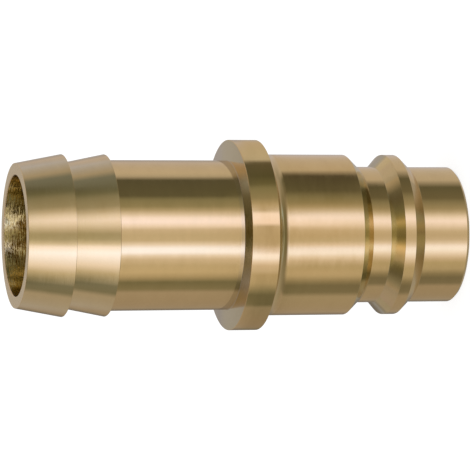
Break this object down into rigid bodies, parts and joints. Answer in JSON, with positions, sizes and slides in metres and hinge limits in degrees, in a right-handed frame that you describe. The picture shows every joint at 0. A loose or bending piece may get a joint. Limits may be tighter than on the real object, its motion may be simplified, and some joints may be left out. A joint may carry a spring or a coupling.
{
  "type": "hose barb tail",
  "caption": "Turned brass quick-coupling plug with a ball-locking groove at one end, a flange and a barbed hose tail at the other, open right through.",
  "frame": {"origin": "centre of the nose face, the lowest point of the part as it stands on its nose", "axes": "+Z along the turning axis, from the nose up to the mouth of the hose tail; X and Y are equal"},
  "size_m": [0.0242, 0.0242, 0.0571],
  "materials": {
    "turned_brass": "fine turned, bare brass"
  },
  "bodies": {
    "root": {"hose_tail_plug": "turned_brass"}
  },
  "joints": []
}
